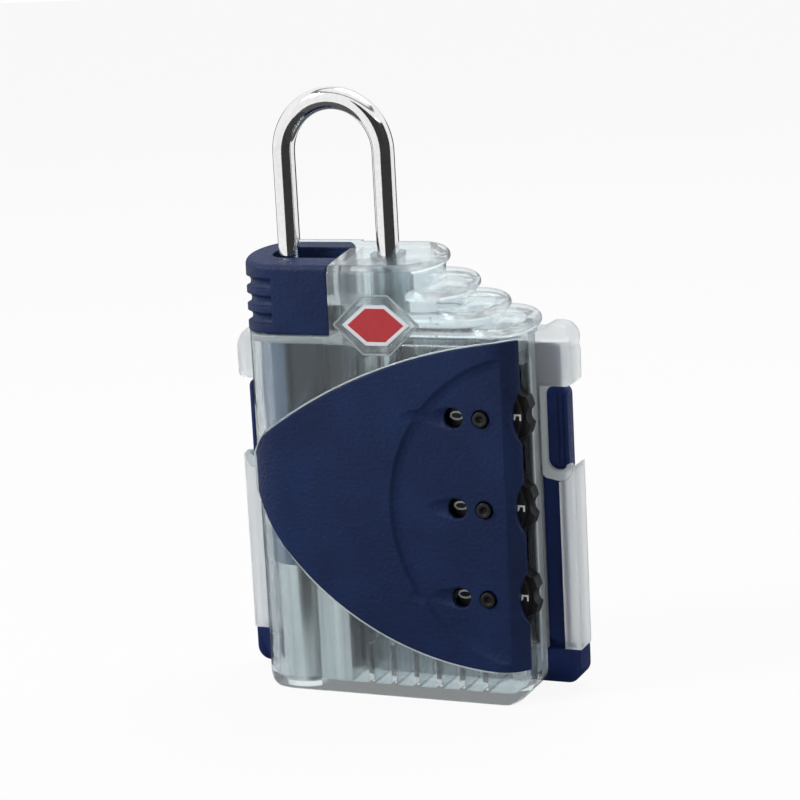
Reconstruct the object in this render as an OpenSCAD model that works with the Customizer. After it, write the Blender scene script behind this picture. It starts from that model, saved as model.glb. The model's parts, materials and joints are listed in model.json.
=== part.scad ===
// Three-dial luggage padlock with a key override and a pull-out name tag behind the body.
// X runs from the short shackle leg to the dials, Y from the front to the back, Z upwards.
// X = 0 is the long shackle leg, Y = 0 the plane of both legs, Z = 0 the foot of the body.

/* [Shackle] */
// Diameter of the shackle rod
rod_d = 3.2; // [2.6:0.1:3.9]
// Distance between the two leg axes
leg_spacing = 15.3; // [12.8:0.1:18.4]
// Height of the bow's top above the shelf that the release slider runs on
bow_rise = 34.4; // [28:0.1:42]
// Travel of the shackle when it springs open
lift = 10; // [8:0.5:11]
// Depth of the latch notch in the short leg
notch_depth = 0.8; // [0.6:0.1:1]

/* [Body] */
// Half thickness of the body, which is also the end radius of every tier
body_r = 6.4; // [6:0.1:7.7]
// Right side wall, measured from the long leg's axis
body_right = 20.6; // [19:0.1:25]
// Side, floor and top walls of the clear housing
wall = 1.3; // [1:0.1:1.6]
// Front wall of the clear housing, which the cover is let into
front_wall = 1.6; // [1.4:0.1:2]
// Radius of the upright corner between the front and the right side
corner_r = 4.2; // [3:0.1:5]
// Radius of the foot's two lower ends
foot_r = 3.5; // [2.4:0.1:4.5]

/* [Tiers] */
// Heights of the four tiers above the slider shelf
tier_rise = [10.9, 7.3, 4.4, 2.2]; // [1.5:0.1:14]
// Slope of the tiers, which rise to the back, in degrees
deck_tilt = 9; // [5:0.5:11]
// Thickness of the rounded rim round each tier
rim_t = 1.5; // [1:0.1:1.8]
// Depth of the neck under each rim
neck_inset = 0.8; // [0.4:0.1:1]
// Land of the first tier beyond the long leg's guide
first_land = 2.6; // [2:0.1:3.5]
// Overhang of the last tier beyond the right side wall
last_land = 1.6; // [1:0.1:2.4]

/* [Release slider] */
// Distance from the long leg's axis to the slider's seam with the tiers
seam_gap = 6.9; // [6.2:0.1:7.6]
// Reach of the slider's rear arm past the seam
arm_reach = 0.8; // [0.4:0.1:1]
// Thickness of the clear wall that guides the slider's back
guide_t = 1.1; // [0.8:0.1:1.4]
// Pull of the slider
slider_travel = 4; // [3:0.1:4.4]
// Width of the slot round the short leg
slot_w = 4.96; // [4.6:0.02:6]
// Number of grip grooves round the slider's end
grip_grooves = 3; // [2:1:4]
// Pitch of the grip grooves
groove_pitch = 2.5; // [2.1:0.1:3]

/* [Dials] */
// Outer diameter of the dials
dial_d = 12.6; // [10.5:0.1:15.2]
// Thickness of a dial's scalloped rim
dial_t = 2.4; // [2:0.1:2.8]
// Gap between neighbouring dials
dial_gap = 0.3; // [0.2:0.05:0.8]
// Stand-out of the dials beyond the right side wall
dial_proud = 0.8; // [0.5:0.1:1.4]
// Scallops round each dial, one for each digit
scallops = 10; // [10:1:10]
// Diameter of the spindles
spindle_d = 2.1; // [1.8:0.1:2.5]
// Height of the lowest spindle above the foot
dial_foot = 15.3; // [14.5:0.1:18.4]
// Height of the slider shelf above the highest spindle
dial_head = 11.2; // [10.5:0.1:13.5]

/* [Front cover] */
// Thickness of the cover
cover_t = 1.4; // [1.2:0.1:1.7]
// Stand-out of the cover from the clear housing
cover_proud = 0.4; // [0.2:0.1:0.6]
// Radius of the cover's nose over the lock barrel
nose_r = 7.5; // [6:0.1:9]
// Height of the cover's lowest point above the foot
cover_foot = 4.9; // [4:0.1:6]
// Depth of the dish round the number windows
dish_depth = 0.5; // [0.3:0.05:0.6]
// Width and height of a number window
window_w = 3; // [2.6:0.1:3.4]

/* [Name tag] */
// Front plane of the tag holder behind the leg plane
holder_front = 2; // [1.9:0.1:2.4]
// Thickness of the tag holder
holder_t = 4.5; // [4.1:0.1:5.4]
// Width of an ear beyond the right side wall
ear_w = 5.1; // [4.5:0.1:6]
// Height of an ear
ear_h = 8.7; // [7:0.1:10]
// Height of the finger notch between the ears and the sleeves
notch_h = 11.4; // [9.5:0.1:13.6]
// Height of the drawer's end
end_h = 5; // [4:0.1:6]
// Thickness of the drawer's plate
drawer_t = 2.5; // [2.1:0.1:2.5]
// Thickness of the name card
card_t = 0.3; // [0.2:0.05:0.36]

/* [Key lock] */
// Diameter of the key cylinder
cylinder_d = 6.9; // [6:0.1:6.9]
// Height of the key cylinder
cylinder_h = 17.5; // [14.6:0.1:20]
// Diameter of the key plug
plug_d = 5; // [4.2:0.1:5.4]

/* [Hidden] */
$fn = 72;

// Clearances: a running fit, a sliding gap, a gap between pieces that never touch
fit = 0.05;
slide_gap = 0.1;
free_gap = 0.3;
far = 60;

// Heights
dial_pitch = dial_d + dial_gap;
shelf_z = dial_foot + 2 * dial_pitch + dial_head;
dial_z = [dial_foot + 2 * dial_pitch, dial_foot + dial_pitch, dial_foot];
bow_r = leg_spacing / 2;
bow_z = shelf_z + bow_rise - rod_d / 2 - bow_r;

// Plan positions
dial_x = body_right + dial_proud - dial_d / 2;
seam_x = -seam_gap;
first_end = body_r + first_land;
tier_step = (body_right + last_land - first_end) / 3;
function tier_end(i) = first_end + i * tier_step;
fade_x = first_end - 5.4;
fade_r = 2;

// Depths from the front to the back
cover_face = -body_r - cover_proud;
cover_back = cover_face + cover_t;
chassis_t = 0.8;
chassis_front = holder_front - slide_gap - chassis_t;
cam_front = chassis_front - free_gap - 1.6;
wheel_front = cam_front - dial_t;
skirt_back = cover_back + 1;
digit_front = skirt_back + 0.15;

// Slider and latch
slider_r = body_r + slide_gap;
guide_back = body_r - 0.12;
slider_back = guide_back - guide_t - slide_gap;
arm_foot = shelf_z + 4.9;
arm_r = body_r - 0.2;
nose_proud = 0.05;
short_leg_end = shelf_z + 2.2;
notch_top = shelf_z + 6.6;
latch_slope = lift / slider_travel;

// Fence: the slider's inclined slot lifts it into the cams by a set part of the slider's travel
fence_lift = 1.2;
fence_t = 1.2;
fence_front = cam_front + free_gap;
cam_r = 3.6;
fence_x = seam_x + free_gap;
riser_x = seam_x + wall + 0.7;
peg_d = 0.9;
peg_z = shelf_z + 1.9;

// Long leg, its spring and its stop
spring_room = 5.6;
long_leg_end = dial_z[0] + 2.85;
spring_foot = long_leg_end - spring_room;
ring_r = rod_d / 2 + 0.6;
ring_t = 0.8;
ring_z = long_leg_end + 1.4;
bushing_r = rod_d / 2 + 0.9;
bushing_foot = ring_z + ring_t + lift + 0.2;
cam_plate_t = 1;
cam_plate_front = -max(slot_w / 2, bushing_r + slide_gap) - cam_plate_t;
cam_left = seam_x - 4.6;
cam_foot = peg_z - 1.3;
cam_h = 3.5;

// Key lock axis
lock_y = holder_front - slide_gap - cylinder_d / 2;
cylinder_foot = 0.8;
cylinder_top = cylinder_foot + cylinder_h;

// Tag holder and drawer
holder_back = holder_front + holder_t;
holder_half = max(body_right, leg_spacing + body_r - 1.1) + ear_w;
holder_top = shelf_z - slide_gap;
ear_top = shelf_z + 0.7;
ear_foot = ear_top - ear_h;
sleeve_top = ear_foot - notch_h;
sleeve_foot = end_h + 1.15;
waist_half = holder_half - 4.5;
skin = (holder_t - drawer_t) / 2 - slide_gap;
drawer_front = holder_front + skin + slide_gap;
drawer_half = holder_half - 2.5;
grip_half = holder_half - 1.1;
drawer_top = shelf_z - 2;

// Space below a tier's sloping plane
module below_deck(z) {
    translate([0, 0, z]) rotate([deck_tilt, 0, 0]) translate([-far, -far, -2 * far]) cube(2 * far);
}

// Plan of the body below the tiers, pulled in all round by inset
module body_plan(inset) {
    intersection() {
        union() {
            translate([-leg_spacing, 0]) circle(r = body_r - inset);
            translate([-leg_spacing, inset - body_r])
                square([leg_spacing + body_right - corner_r, body_r + holder_front]);
            translate([body_right - corner_r, corner_r - body_r]) circle(r = corner_r - inset);
            translate([body_right - corner_r - 1, corner_r - body_r])
                square([corner_r + 1 - inset, body_r + holder_front]);
        }
        translate([-far, -far]) square([2 * far, far + holder_front]);
    }
}

// Front view of the body below the tiers, with its rounded lower ends
module body_elevation(inset) {
    left = -leg_spacing - body_r + inset;
    right = body_right - inset;
    r = foot_r - inset;
    translate([left, foot_r]) square([right - left, shelf_z - foot_r - inset]);
    translate([left + r, inset]) square([right - left - 2 * r, foot_r]);
    for (x = [left + r, right - r])
        translate([x, foot_r]) circle(r = r);
}

// Extrudes a front view through the depth from y0 to y1
module through(y0, y1) {
    translate([0, y1, 0]) rotate([90, 0, 0]) linear_extrude(y1 - y0) children();
}

// Plan of one tier, pulled in by inset
module tier_plan(i, inset, from_x) {
    centre = tier_end(i) - body_r;
    translate([centre, 0]) circle(r = body_r - inset);
    translate([from_x, inset - body_r]) square([centre - from_x, 2 * (body_r - inset)]);
}

// The rounded rim that crowns one tier
module tier_rim(i) {
    half = body_r - 0.12;
    centre = tier_end(i) - body_r;
    translate([0, 0, shelf_z + tier_rise[i]]) rotate([deck_tilt, 0, 0]) translate([0, 0, -rim_t / 2]) {
        translate([seam_x, 0, 0]) rotate([90, 0, 90]) linear_extrude(centre - seam_x) rim_section(half);
        translate([centre, 0, 0]) rotate_extrude(angle = 180, start = -90) intersection() {
            rim_section(half);
            translate([0, -rim_t]) square([2 * half, 2 * rim_t]);
        }
    }
}

// Section across a tier's rim: flat on both sides, with round edges
module rim_section(half) {
    translate([-half + rim_t / 2, -rim_t / 2]) square([2 * half - rim_t, rim_t]);
    for (side = [-1, 1])
        translate([side * (half - rim_t / 2), 0]) circle(r = rim_t / 2);
}

// Outline of the front cover: a nose and two long arcs, grown all round by grow. The nose stands a
// hair proud of the arcs, so that they cross and don't only touch.
crest = [body_right + 5.5, shelf_z - 0.1];
sole = [body_right - 2.45, cover_foot];
nose_top = [-leg_spacing - 2.5, shelf_z - 14.3];
nose_sole = [-leg_spacing - 2.2, cover_foot + 19];
function drop_r(top, p) = (pow(p[0] - top[0], 2) + pow(p[1] - top[1], 2)) / (2 * abs(top[1] - p[1]));
upper_r = drop_r(crest, nose_top);
lower_r = drop_r(sole, nose_sole);
upper_c = crest - [0, upper_r];
lower_c = sole + [0, lower_r];
// Where two circles cross, on the left of the line from the first centre to the second
function crossing(c1, r1, c2, r2) =
    let (d = norm(c2 - c1), u = (c2 - c1) / d, a = (r1 * r1 - r2 * r2 + d * d) / (2 * d))
    c1 + a * u + sqrt(r1 * r1 - a * a) * [-u[1], u[0]];
nose_c = crossing(upper_c, upper_r - nose_r, lower_c, lower_r - nose_r);
function tangent_point(c, r) = c + r * (nose_c - c) / norm(nose_c - c);

module cover_outline(grow) {
    upper_t = tangent_point(upper_c, upper_r);
    lower_t = tangent_point(lower_c, lower_r);
    translate(nose_c) circle(r = nose_r + grow + nose_proud);
    intersection() {
        translate(upper_c) circle(r = upper_r + grow, $fn = 360);
        translate(lower_c) circle(r = lower_r + grow, $fn = 240);
        polygon([
            upper_t + grow * (upper_t - nose_c) / nose_r, upper_t + [0, far], [2 * far, 2 * far],
            [2 * far, -far], lower_t - [0, far], lower_t + grow * (lower_t - nose_c) / nose_r, nose_c
        ]);
    }
}

// Hexagon of the emblem, by its half width, half height and half the length of its flats
module hexagon(half_w, half_h, flat) {
    polygon([
        [half_w, 0], [flat, half_h], [-flat, half_h], [-half_w, 0], [-flat, -half_h], [flat, -half_h]
    ]);
}
emblem_half = [6.5, 4.3];
emblem_x = seam_x + 0.7 + emblem_half[0];
emblem_z = shelf_z + 1.75;
emblem_flat = 2.1;
inlay_half = [5.1, 2.9];
inlay_flat = 1.6;
bezel_back = -body_r + 0.6;

// Posts behind the front cover that the chassis plate is screwed to
post_x = fade_x - 2.6;
posts = [[post_x, dial_z[2]], [post_x, dial_z[1]], [post_x + 3.5, shelf_z - 7.2]];
post_d = 3.2;
screw_d = 1.4;

module front_shell() {
    channel_foot = dial_z[2] - dial_d / 2 - 1;
    channel_top = dial_z[0] + dial_d / 2 + 1;
    color("lightcyan", 0.45)
    difference() {
        union() {
            intersection() {
                linear_extrude(shelf_z) body_plan(0);
                through(-2 * body_r, far) body_elevation(0);
            }
            for (i = [0:3])
                tier_rim(i);
            for (i = [0:3])
                intersection() {
                    translate([0, 0, shelf_z]) linear_extrude(far / 2) tier_plan(i, neck_inset, seam_x);
                    below_deck(shelf_z + tier_rise[i] - rim_t / 2);
                }
            intersection() {
                translate([0, 0, shelf_z]) linear_extrude(far / 2) fade_plan();
                below_deck(shelf_z + tier_rise[0] - rim_t / 2);
            }
            intersection() {
                translate([0, 0, shelf_z]) linear_extrude(far / 2) guide_plan();
                below_deck(shelf_z + tier_rise[0]);
            }
        }
        translate([0, 0, arm_foot - slide_gap]) linear_extrude(far) arm_plan(slide_gap);
        difference() {
            intersection() {
                translate([0, 0, wall]) linear_extrude(shelf_z - 2 * wall) room_plan();
                through(-2 * body_r, far) body_elevation(wall);
            }
            for (i = [0:5])
                translate([fade_x - 7.8 + 3.5 * i, -body_r, 0]) cube([0.8, body_r + chassis_front, 7.2]);
        }
        for (i = [0:3])
            intersection() {
                translate([0, 0, shelf_z - wall - 1]) linear_extrude(far / 2)
                    tier_plan(i, neck_inset + wall, seam_x + wall);
                below_deck(shelf_z + tier_rise[i] - rim_t);
            }
        // Seat and window for the front cover, and the channel that the dials stand out of
        difference() {
            through(cover_face - 1, skirt_back + slide_gap) cover_outline(slide_gap);
            translate([0, 0, -1]) linear_extrude(far) body_plan(cover_t - cover_proud + fit);
        }
        intersection() {
            through(cover_face - 1, front_wall - body_r + 1) cover_outline(-1.6);
            translate([-leg_spacing, -far, 0]) cube([leg_spacing + body_right - corner_r, far, shelf_z]);
        }
        translate([body_right - corner_r - 1, cam_front + 0.15 - far, channel_foot])
            cube([far, far, channel_top - channel_foot]);
        // Openings for the long leg's bushing, the slider's cam plate, the key cylinder and the emblem
        translate([0, 0, shelf_z]) cylinder(r = bushing_r, h = far);
        translate([seam_x - 1, cam_plate_front - slide_gap, cam_foot - slide_gap])
            cube([wall + 2, cam_plate_t + 2 * slide_gap, cam_h + 2 * slide_gap]);
        translate([-leg_spacing, lock_y, -1]) cylinder(d = cylinder_d + 2 * fit, h = wall + 2);
        through(-body_r - 1, bezel_back) translate([emblem_x, emblem_z])
            hexagon(emblem_half[0] - 0.6, emblem_half[1] - 0.4, emblem_flat - 0.2);
    }
}

// Plan of the room inside the housing, open at the back and round behind the barrel's wall
module room_plan() {
    intersection() {
        body_plan(wall);
        translate([-far, front_wall - body_r]) square(2 * far);
    }
    intersection() {
        translate([-leg_spacing, 0]) circle(r = body_r - wall);
        translate([-far, holder_front - far]) square([2 * far, far]);
    }
    translate([-leg_spacing - body_r + 2 * wall, holder_front - 1])
        square([leg_spacing + body_r + body_right - 3 * wall, 2]);
}

// Plan of the flush part of the tiers, whose round ends fade the rims into the front
module fade_plan() {
    translate([seam_x, -body_r]) square([fade_x - seam_x, 2 * body_r]);
    for (side = [-1, 1])
        translate([fade_x, side * (body_r - fade_r)]) circle(r = fade_r);
}

// Plan of the wall behind the slider, which follows the slider's rounded back corner
module guide_plan() {
    difference() {
        intersection() {
            union() {
                translate([-leg_spacing, 0]) circle(r = guide_back);
                translate([-leg_spacing, 0]) square([leg_spacing - seam_gap + 0.5, guide_back]);
            }
            translate([-far, slot_w / 2]) square(2 * far);
        }
        back_plan(slide_gap);
        translate([seam_x - far - 3, 0]) square([far, slider_back + slide_gap]);
    }
}

// Plan of the slider behind its slot, with the corner that its rear arm ends in
module back_plan(grow) {
    intersection() {
        translate([seam_x + arm_reach + 0.4 - arm_r, 0.3]) circle(r = arm_r + grow);
        translate([-far, 0]) square([2 * far, slider_back + grow]);
    }
}

// Plan of the rear arm where it reaches past the seam
module arm_plan(grow) {
    intersection() {
        back_plan(grow);
        translate([seam_x - 3, slot_w / 2 - grow]) square([far, far]);
    }
}

module front_cover() {
    color("midnightblue")
    difference() {
        union() {
            intersection() {
                through(cover_face - 1, skirt_back) cover_outline(0);
                linear_extrude(shelf_z) difference() {
                    body_plan(-cover_proud);
                    body_plan(cover_t - cover_proud);
                }
            }
            for (p = posts)
                translate([p[0], chassis_front, p[1]]) rotate([90, 0, 0])
                    cylinder(d = post_d, h = chassis_front - cover_back + 0.1);
        }
        for (p = posts)
            translate([p[0], chassis_front + 1, p[1]]) rotate([90, 0, 0]) cylinder(d = screw_d, h = 4);
        // Finger scoops at the dials
        for (z = dial_z)
            translate([body_right + 5.6, 0, z]) rotate([90, 0, 0]) cylinder(r = 6.9, h = far);
        // Shallow dish, windows and spindle holes
        translate([body_right + 3.2, cover_face, dial_z[1] - 0.4]) rotate([90, 0, 0]) dish();
        for (z = dial_z) {
            translate([dial_x, 0, z]) rotate([90, 0, 0]) cylinder(d = spindle_d + 0.5, h = far);
            number_window(z);
        }
    }
}

// Dish as a solid of revolution: a flat middle and a soft sloping edge
module dish() {
    r = dial_x + 7.7;
    intersection() {
        rotate_extrude($fn = 180)
            polygon([
                [0, -dish_depth], [r - 1.3, -dish_depth], [r - 0.5, -0.7 * dish_depth],
                [r, 0], [r, 1], [0, 1]
            ]);
        translate([-far - 5.6, -far, -1]) cube([far, 2 * far, 2]);
    }
}

// Window that shows one digit, with the thumb-shaped scoop leading into it
module number_window(z) {
    x = dial_x - 4.1;
    translate([x, 0, z]) rotate([90, 0, 0]) cylinder(d = window_w, h = far);
    translate([x, cover_face - 1, z]) rotate([0, -90, 9]) cylinder(r = 2.2, h = 8);
}

module emblem_bezel() {
    color("white", 0.5)
    difference() {
        translate([emblem_x, 0, emblem_z]) {
            through(cover_face, -body_r) hexagon(emblem_half[0], emblem_half[1], emblem_flat);
            through(-body_r, bezel_back)
                hexagon(emblem_half[0] - 0.6, emblem_half[1] - 0.4, emblem_flat - 0.2);
        }
        through(cover_face - 1, cover_face + 0.5) translate([emblem_x, emblem_z])
            hexagon(inlay_half[0], inlay_half[1], inlay_flat);
    }
}

module emblem_inlay() {
    color("firebrick")
    through(cover_face + 0.1, cover_face + 0.5) translate([emblem_x, emblem_z])
        hexagon(inlay_half[0], inlay_half[1], inlay_flat);
}

// Front view of the tag holder
module holder_elevation() {
    shoulder = 3.6;
    heel = 0.9;
    tier_side = body_right + last_land + slide_gap;
    difference() {
        union() {
            translate([-waist_half, sleeve_foot]) square([2 * waist_half, holder_top - sleeve_foot]);
            translate([-holder_half, sleeve_foot]) square([2 * holder_half, sleeve_top - sleeve_foot]);
            translate([-holder_half, ear_foot + heel])
                square([2 * holder_half, holder_top - ear_foot - heel - shoulder]);
            translate([-holder_half + heel, ear_foot])
                square([2 * (holder_half - heel), ear_h - shoulder - 1]);
            for (side = [-1, 1]) {
                translate([side * (holder_half - shoulder), holder_top - shoulder]) circle(r = shoulder);
                translate([side * (holder_half - heel), ear_foot + heel]) circle(r = heel);
            }
            translate([-holder_half + shoulder, holder_top - shoulder - 1])
                square([2 * (holder_half - shoulder), shoulder + 1]);
            // The right ear rises to meet the lowest tier
            translate([tier_side, holder_top - 2]) square([1.1, ear_top - holder_top + 2]);
            translate([tier_side + 1.1, holder_top - 1.5]) circle(r = ear_top - holder_top + 1.5);
        }
        for (side = [-1, 1])
            translate([side * drawer_half, sleeve_top]) circle(r = 2.3);
    }
}

module tag_holder() {
    room_y = holder_front + skin;
    room_half = grip_half + fit + slide_gap;
    window_size = [2 * card_half, skin + 2, window_top - window_foot];
    color("whitesmoke", 0.6)
    difference() {
        through(holder_front, holder_back) holder_elevation();
        translate([-room_half, room_y, sleeve_foot - 1])
            cube([2 * room_half, drawer_t + 2 * slide_gap, drawer_top + slide_gap + 1 - sleeve_foot]);
        // Slots that show the drawer beside the body
        for (side = [-1, 1])
            translate([side > 0 ? body_right + slide_gap : -drawer_half - slide_gap, holder_front - 1, 0])
                cube([drawer_half - body_right, skin + 1.5, sleeve_top]);
        // Relief for the stop ring on the long leg
        translate([-ring_r - 0.5, ring_r + 0.2 - 3, spring_foot]) cube([2 * ring_r + 1, 3, far]);
        // Viewing opening for the name card
        translate([-card_half, holder_back - skin - 1, window_foot]) cube(window_size);
    }
}
card_half = waist_half - 1.2;
window_foot = sleeve_foot + 5;
window_top = drawer_top - 5;

module card_window() {
    rebate = holder_back - skin;
    color("white", 0.3)
    translate([-card_half + fit, rebate + fit, window_foot + fit])
        cube([2 * (card_half - fit), skin - 2 * fit, window_top - window_foot - 2 * fit]);
}

module chassis_plate() {
    left = fence_x - 0.1;
    gate = ring_r + 0.6;
    color("silver")
    difference() {
        intersection() {
            through(chassis_front, chassis_front + chassis_t) body_elevation(wall + slide_gap);
            translate([left, 0, 0]) cube([far, far, far]);
        }
        translate([-gate, chassis_front - 1, spring_foot - 1.5]) cube([2 * gate, chassis_t + 2, far]);
        for (z = dial_z)
            translate([dial_x, 0, z]) rotate([-90, 0, 0]) cylinder(d = spindle_d, h = far);
        for (p = posts)
            translate([p[0], 0, p[1]]) rotate([-90, 0, 0]) cylinder(d = screw_d, h = far);
        for (z = [dial_foot + dial_pitch / 2, dial_foot + 1.5 * dial_pitch])
            translate([post_x + 5, 0, z]) rotate([-90, 0, 0]) cylinder(d = 4, h = far);
    }
}

module chassis_screws() {
    color("gainsboro")
    for (p = posts)
        translate([p[0], chassis_front - 3, p[1]]) rotate([-90, 0, 0])
            cylinder(d = screw_d, h = 3 + chassis_t);
}

module lock_barrel() {
    r = body_r - wall - 0.15;
    shell = 0.7;
    foot = cylinder_top + slide_gap;
    top = shelf_z - wall - slide_gap;
    back = holder_front - slide_gap;
    color("slategray")
    difference() {
        intersection() {
            translate([-leg_spacing, 0, foot]) cylinder(r = r, h = top - foot);
            translate([-far, back - far, 0]) cube([2 * far, far, far]);
        }
        intersection() {
            translate([-leg_spacing, 0, foot + 1]) cylinder(r = r - shell, h = top - foot - 2);
            translate([-far, back - shell - far, 0]) cube([2 * far, far, far]);
        }
        translate([-leg_spacing, lock_y, foot - 1]) cylinder(r = key_shaft_r + fit, h = 4);
    }
}
key_shaft_r = 1.2;

module key_cylinder() {
    color("silver")
    difference() {
        translate([-leg_spacing, lock_y, cylinder_foot]) cylinder(d = cylinder_d, h = cylinder_h);
        translate([-leg_spacing, lock_y, cylinder_foot - 1]) cylinder(d = plug_d + 2 * fit, h = cylinder_h);
        translate([-leg_spacing, lock_y, 0]) cylinder(r = key_shaft_r + fit, h = far);
    }
}

module key_plug() {
    color("darkgray")
    difference() {
        translate([-leg_spacing, lock_y, cylinder_foot + 0.1]) cylinder(d = plug_d, h = cylinder_h - 1.2);
        translate([-leg_spacing - 0.5, lock_y - plug_d / 2 + 0.5, 0]) cube([1, plug_d - 1, 12]);
        translate([-leg_spacing - 0.9, lock_y + 0.2, 0]) cube([0.6, 1, 12]);
    }
}

module key_shaft() {
    foot = cylinder_foot + cylinder_h - 1.1;
    top = shelf_z - wall - 1.6;
    color("darkgray") {
        translate([-leg_spacing, lock_y, foot]) cylinder(r = key_shaft_r, h = top - foot);
        translate([-leg_spacing, lock_y - 0.9, top - 3]) cube([2.2, 1.8, 3]);
    }
}

module cylinder_bracket() {
    left = -leg_spacing + cylinder_d / 2 + 0.1;
    color("lightgray")
    difference() {
        translate([left, front_wall - body_r + slide_gap, wall + 0.05])
            cube([fence_x - 0.3 - left, body_r - front_wall + chassis_front - slide_gap, cylinder_h - 1.5]);
        translate([left + 2.3, lock_y, 0]) cylinder(d = 1.6, h = far);
    }
}

module leg_bushing() {
    color("white", 0.5)
    difference() {
        intersection() {
            translate([0, 0, bushing_foot]) cylinder(r = bushing_r, h = far);
            below_deck(shelf_z + tier_rise[0] - 0.1);
        }
        cylinder(r = rod_d / 2 + fit, h = 2 * far);
    }
}

module spring_seat() {
    half = ring_r + 0.5;
    color("gray")
    translate([-half, -half, spring_foot - 1.4]) cube([2 * half, half + holder_front - slide_gap, 1.4]);
}

// Coil spring as a stack of rings, which is squashed and stretched as one
module shackle_spring() {
    wire = 0.5;
    coils = 6;
    r = rod_d / 2 - 0.3;
    color("lightgray")
    for (i = [0:coils - 1])
        translate([0, 0, spring_foot + wire / 2 + i * (spring_room - wire) / (coils - 1)]) {
            rotate_extrude($fn = 32) translate([r, 0]) circle(d = wire, $fn = 16);
        }
}

module detent_spring() {
    leaf_t = 0.3;
    leaf_y = wheel_front + 0.3;
    leaf_w = dial_t - 0.6;
    overrun = 2;
    tab_h = 0.8;
    tab_y = leaf_y + leaf_w - 0.6;
    x = dial_x - dial_d / 2 - 0.9;
    color("lightgray") {
        translate([x, leaf_y, dial_z[2] - overrun]) cube([leaf_t, leaf_w, 2 * (dial_pitch + overrun)]);
        // A bump at each dial and the two tabs that reach the chassis plate
        for (z = dial_z)
            intersection() {
                translate([x - leaf_t, leaf_y, z]) rotate([-90, 0, 0]) cylinder(r = 1, h = leaf_w);
                translate([x, -far, z - 2]) cube([2, 2 * far, 4]);
            }
        for (z = [dial_z[1] - 2.4, dial_z[1] + 1.6])
            translate([x, tab_y, z]) cube([leaf_t, chassis_front - tab_y, tab_h]);
    }
}

module dial_spindle(i) {
    color("black")
    difference() {
        translate([dial_x, cover_face + 0.1, dial_z[i]]) rotate([-90, 0, 0])
            cylinder(d = spindle_d, h = holder_front - slide_gap - cover_face - 0.1);
        // Dimple in the spindle's end
        translate([dial_x, cover_face, dial_z[i]]) rotate([-90, 0, 0])
            cylinder(d1 = 1.3, d2 = 0.5, h = 0.6);
    }
}

module dial(i) {
    color("#1b1b1d")
    translate([dial_x, 0, dial_z[i]])
    difference() {
        union() {
            through(wheel_front, cam_front) difference() {
                circle(d = dial_d);
                for (a = [0:scallops - 1])
                    rotate(a * 360 / scallops) translate([dial_d / 2 + 0.8, 0]) circle(r = 1.5, $fn = 48);
            }
            through(digit_front, wheel_front) circle(r = dial_d / 2 - 1.1);
        }
        through(-far, far) circle(d = spindle_d + 2 * fit);
    }
}

module dial_cam(i) {
    color("darkgoldenrod")
    translate([dial_x, 0, dial_z[i]])
    difference() {
        through(cam_front, cam_front + 1.6) difference() {
            circle(r = cam_r);
            translate([-0.8, -cam_r - 1]) square([1.6, 2.4]);
        }
        through(-far, far) circle(d = spindle_d + 2 * fit);
    }
}

// Vertical bar with a pin under each cam; it rises as the slider is pulled
module fence_bar() {
    arm = 1.2;
    pin_d = 1;
    foot = 2.2;
    jog_z = shelf_z - wall - fence_lift - 0.2 - arm;
    color("dimgray") {
        translate([fence_x, fence_front, foot]) cube([1.2, fence_t, jog_z + arm - foot]);
        translate([fence_x, fence_front, jog_z]) cube([riser_x - fence_x, fence_t, arm]);
        translate([riser_x, fence_front, jog_z]) cube([1.2, fence_t, peg_z + 0.9 - jog_z]);
        translate([riser_x + 0.6, fence_front, peg_z]) rotate([90, 0, 0])
            cylinder(d = peg_d, h = fence_front - cam_plate_front + 0.1);
        for (z = dial_z) {
            pin_top = z - cam_r - 0.2 - fence_lift;
            translate([fence_x, fence_front, pin_top - 1.2 - arm])
                cube([dial_x + 0.6 - fence_x, fence_t, arm]);
            translate([dial_x, fence_front + fence_t / 2, pin_top - 1.3]) cylinder(d = pin_d, h = 1.3);
        }
    }
}

// Plate fixed in the slider, with the inclined slot that lifts the fence bar
module slider_cam() {
    start = riser_x + 0.6;
    tilt = atan(fence_lift / slider_travel);
    slot_r = peg_d / 2 + slide_gap;
    color("silver")
    difference() {
        translate([cam_left, cam_plate_front, cam_foot])
            cube([start + slider_travel + 1 - cam_left, cam_plate_t, cam_h]);
        through(-far, far) translate([start, peg_z]) {
            circle(r = slot_r);
            rotate(tilt) translate([0, -slot_r]) square([norm([slider_travel, fence_lift]), 2 * slot_r]);
            translate([slider_travel, fence_lift]) circle(r = slot_r);
        }
    }
}

// Bevelled tongue in the slider that holds the short leg down
module latch_plate() {
    tip = -leg_spacing - rod_d / 2 + notch_depth - slide_gap;
    root = -leg_spacing - slot_w / 2 - 1.4;
    heel = 1.6;
    color("silver")
    through(-1.7, 1.7) polygon([
        [root, notch_top - slide_gap], [tip, notch_top - slide_gap], [tip, notch_top - 0.25],
        [tip - heel, notch_top - 0.25 - latch_slope * heel], [root, notch_top - 0.25 - latch_slope * heel]
    ]);
}

// Outer form of the release slider, with soft edges and a top that follows the tiers
module slider_block() {
    soft = 0.9;
    foot_soft = 0.4;
    foot = shelf_z + slide_gap;
    right = seam_x - slide_gap;
    hull() {
        translate([-leg_spacing, 0, foot + foot_soft]) rotate_extrude($fn = 64)
            translate([slider_r - foot_soft, 0]) circle(r = foot_soft, $fn = 12);
        on_top_plane(-leg_spacing, -soft) rotate_extrude($fn = 64)
            translate([slider_r - soft, 0]) circle(r = soft, $fn = 24);
        translate([right - 0.2, foot_soft - slider_r, foot]) cube([0.2, 2 * (slider_r - foot_soft), 1]);
        for (side = [-1, 1])
            on_top_plane(right - 0.2, -soft) translate([0, side * (slider_r - soft), 0])
                rotate([0, 90, 0]) cylinder(r = soft, h = 0.2, $fn = 24);
    }
}

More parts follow.
